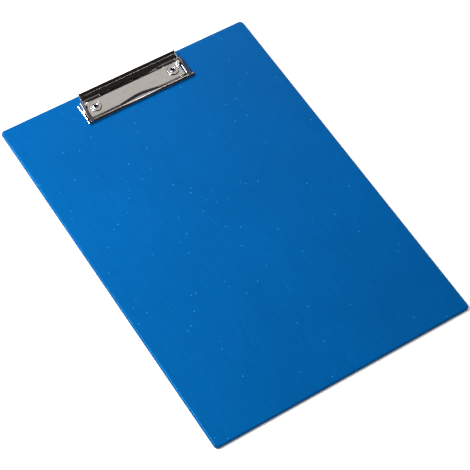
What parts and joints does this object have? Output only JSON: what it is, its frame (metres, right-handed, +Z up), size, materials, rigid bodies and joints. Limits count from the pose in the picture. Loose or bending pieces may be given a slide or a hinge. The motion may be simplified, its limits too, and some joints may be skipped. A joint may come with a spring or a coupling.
{
  "type": "clipboard",
  "caption": "Flat rectangular writing board with a low sprung metal clip riveted along one short end to hold loose sheets of paper.",
  "frame": {"origin": "middle of the board's underside, on the surface it lies on", "axes": "+X across the board, to the right of a reader whose clip is at the top; +Y along the board towards the clip; +Z up out of the writing face"},
  "size_m": [0.226, 0.319, 0.0118],
  "materials": {
    "core": "matt grey board",
    "foil": "finely embossed blue foil with a soft sheen",
    "plate_chrome": "smooth plated",
    "clip_chrome": "bright plated",
    "rivet_chrome": "bright plated",
    "fixing_steel": "plain zinc plated",
    "spring_steel": "tempered strip"
  },
  "bodies": {
    "board": {"core_board": "core", "front_cover": "foil", "back_cover": "foil", "base_plate": "plate_chrome", "rivet_left": "rivet_chrome", "rivet_right": "rivet_chrome", "rivet_washer_left": "fixing_steel", "rivet_washer_right": "fixing_steel", "pivot_pin_left": "fixing_steel", "pivot_pin_right": "fixing_steel", "leaf_spring": "spring_steel"},
    "clamp": {"clamp_frame": "clip_chrome"}
  },
  "joints": [
    {"name": "clamp_hinge", "type": "hinge", "parent": "board", "child": "clamp", "pos_m": [0, 0.1467, 0.0056], "axis": [-1, 0, 0], "range_deg": [0, 22], "stiffness_Nm_per_rad": 0.4, "springref_deg": -20.05, "deforming": ["leaf_spring"]}
  ]
}
